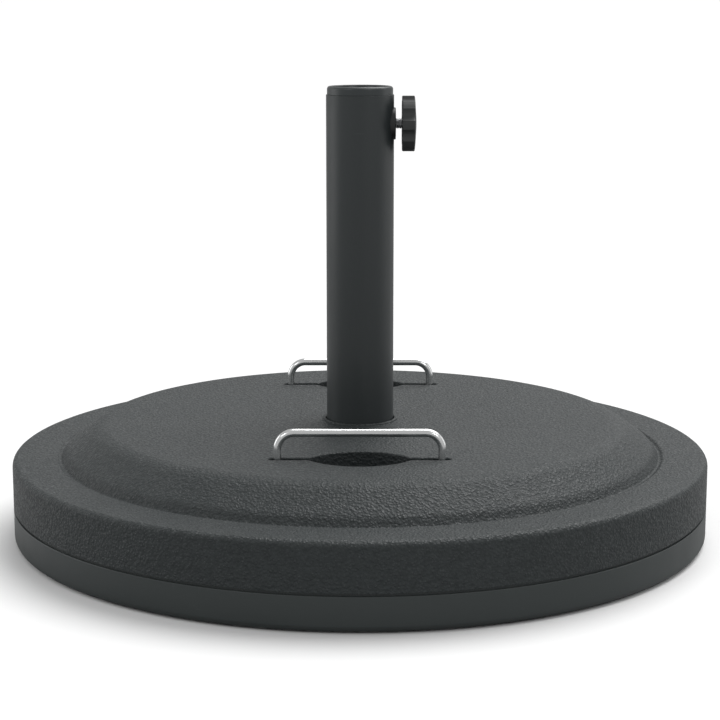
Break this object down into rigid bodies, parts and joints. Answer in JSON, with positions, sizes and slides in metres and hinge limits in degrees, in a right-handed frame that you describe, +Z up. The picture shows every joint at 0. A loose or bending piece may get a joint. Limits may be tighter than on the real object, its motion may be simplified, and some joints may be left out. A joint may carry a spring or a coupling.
{
  "type": "patio umbrella stand",
  "caption": "Round weighted patio umbrella base with an upright tube, a side clamp knob, a drop-in reducer collar and retracting steel carry handles.",
  "frame": {"origin": "centre of the base on the floor it stands on", "axes": "+Z up along the tube, -Y towards the front handle, +X towards the clamp knob"},
  "size_m": [0.54, 0.54, 0.345],
  "materials": {
    "shell_plastic": "dark grey moulded plastic with a fine pebbled grain",
    "pan_plastic": "dark grey moulded plastic, smooth satin",
    "concrete": "cast concrete",
    "foot_rubber": "matt black rubber",
    "zinc_steel": "zinc plated steel",
    "grey_plastic": "plain grey plastic",
    "coated_steel": "dark grey powder coat, satin",
    "collar_plastic": "dark grey moulded plastic, satin",
    "nylon": "natural nylon",
    "knob_plastic": "black moulded plastic, fine texture",
    "handle_steel": "polished stainless steel rod"
  },
  "bodies": {
    "base": {"bottom_pan": "pan_plastic", "top_shell": "shell_plastic", "concrete_ballast": "concrete", "fill_plug": "pan_plastic", "rubber_feet": "foot_rubber", "shell_screws": "zinc_steel", "tube_liner": "grey_plastic", "pole_tube": "coated_steel", "tube_foot_disc": "coated_steel", "tube_weld_nut": "zinc_steel", "tube_bolt": "zinc_steel", "tube_bolt_washer": "zinc_steel", "bolt_cover": "pan_plastic", "clamp_boss": "coated_steel", "guide_tubes": "grey_plastic", "guide_bushes": "nylon"},
    "front_grip": {"front_handle": "handle_steel", "front_handle_stops": "zinc_steel"},
    "rear_grip": {"rear_handle": "handle_steel", "rear_handle_stops": "zinc_steel"},
    "clamp_button": {"clamp_tip": "nylon"},
    "clamp_turning": {"clamp_knob": "knob_plastic", "clamp_screw": "zinc_steel", "knob_cap": "knob_plastic"},
    "reducer": {"reducer_sleeve": "collar_plastic"}
  },
  "joints": [
    {"name": "front_handle_slide", "type": "slide", "parent": "base", "child": "front_grip", "axis": [0, 0, 1], "range_m": [-0.0223, 0]},
    {"name": "rear_handle_slide", "type": "slide", "parent": "base", "child": "rear_grip", "axis": [0, 0, 1], "range_m": [-0.0223, 0]},
    {"name": "clamp_travel", "type": "slide", "parent": "base", "child": "clamp_button", "axis": [1, 0, 0], "range_m": [-0.00445, 0.00505]},
    {"name": "knob_turn", "type": "hinge", "parent": "clamp_button", "child": "clamp_turning", "pos_m": [0.035, 0, 0.3166], "axis": [1, 0, 0], "range_deg": [-1267.2, 1440]},
    {"name": "reducer_lift", "type": "slide", "parent": "base", "child": "reducer", "axis": [0, 0, 1], "range_m": [0, 0.08]}
  ],
  "couplings": [
    {"joint": "clamp_travel", "follows": "knob_turn", "m_per_rad": 0.00019894}
  ]
}
